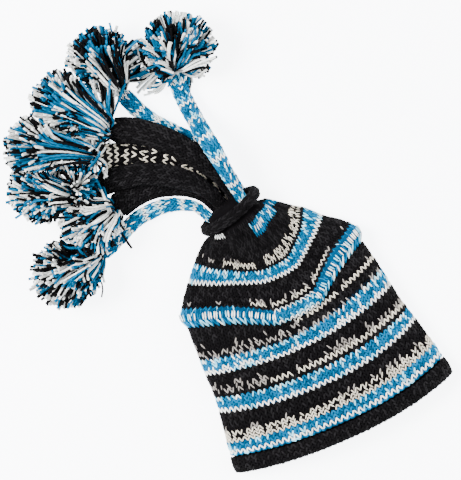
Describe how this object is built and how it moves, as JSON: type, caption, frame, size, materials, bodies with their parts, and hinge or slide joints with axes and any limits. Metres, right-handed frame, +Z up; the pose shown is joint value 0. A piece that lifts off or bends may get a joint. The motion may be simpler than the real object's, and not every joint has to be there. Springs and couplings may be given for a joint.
{
  "type": "tassel beanie",
  "caption": "Striped hand-knitted beanie lying flat, with a thick brim, a tied neck and knitted tubes that end in yarn pompoms.",
  "frame": {"origin": "middle of the brim's resting face, on the surface that the hat lies on", "axes": "+Z up from the surface, +Y from the brim towards the neck and tassels, +X to the hat's right seen from above"},
  "size_m": [0.3443, 0.4951, 0.0743],
  "materials": {
    "striped_knit": "chunky stocking stitch in black, blue, white and cream yarn",
    "black_yarn": "black stocking stitch, slightly hairy",
    "cyan_yarn": "blue stocking stitch flecked with white",
    "heather_yarn": "black stocking stitch flecked with cream",
    "mixed_yarn": "cut strands of off-white, blue and black yarn"
  },
  "bodies": {
    "root": {"crown": "striped_knit", "brim_band": "black_yarn", "neck_tie": "black_yarn", "tube_cyan_upper": "cyan_yarn", "tube_cyan_rear": "cyan_yarn", "tube_black_upper": "black_yarn", "tube_heather": "heather_yarn", "tube_black_lower": "black_yarn", "tube_black_under": "black_yarn", "tube_cyan_lower": "cyan_yarn", "pompom_1": "mixed_yarn", "pompom_2": "mixed_yarn", "pompom_3": "mixed_yarn", "pompom_4": "mixed_yarn", "pompom_5": "mixed_yarn", "pompom_6": "mixed_yarn", "pompom_7": "mixed_yarn"}
  },
  "joints": []
}
